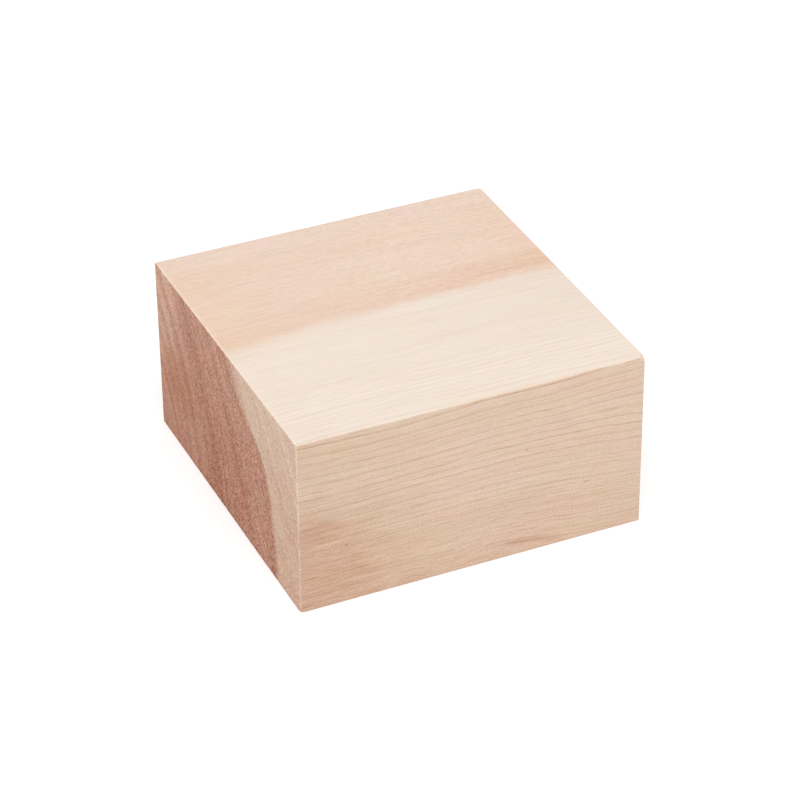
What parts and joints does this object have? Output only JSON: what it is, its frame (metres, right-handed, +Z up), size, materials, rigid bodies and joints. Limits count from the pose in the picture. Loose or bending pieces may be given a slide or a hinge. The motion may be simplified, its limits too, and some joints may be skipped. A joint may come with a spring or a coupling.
{
  "type": "wood block",
  "caption": "Solid square block of pale timber with sanded arrises, lying flat, for use as a bench block, riser or carving blank.",
  "frame": {"origin": "centre of the base, on which the block rests", "axes": "+X along the grain, +Y across the grain to the back, +Z up through the thickness"},
  "size_m": [0.095, 0.096, 0.05],
  "materials": {
    "wood": "planed and finely sanded, bare"
  },
  "bodies": {
    "root": {"block": "wood"}
  },
  "joints": []
}
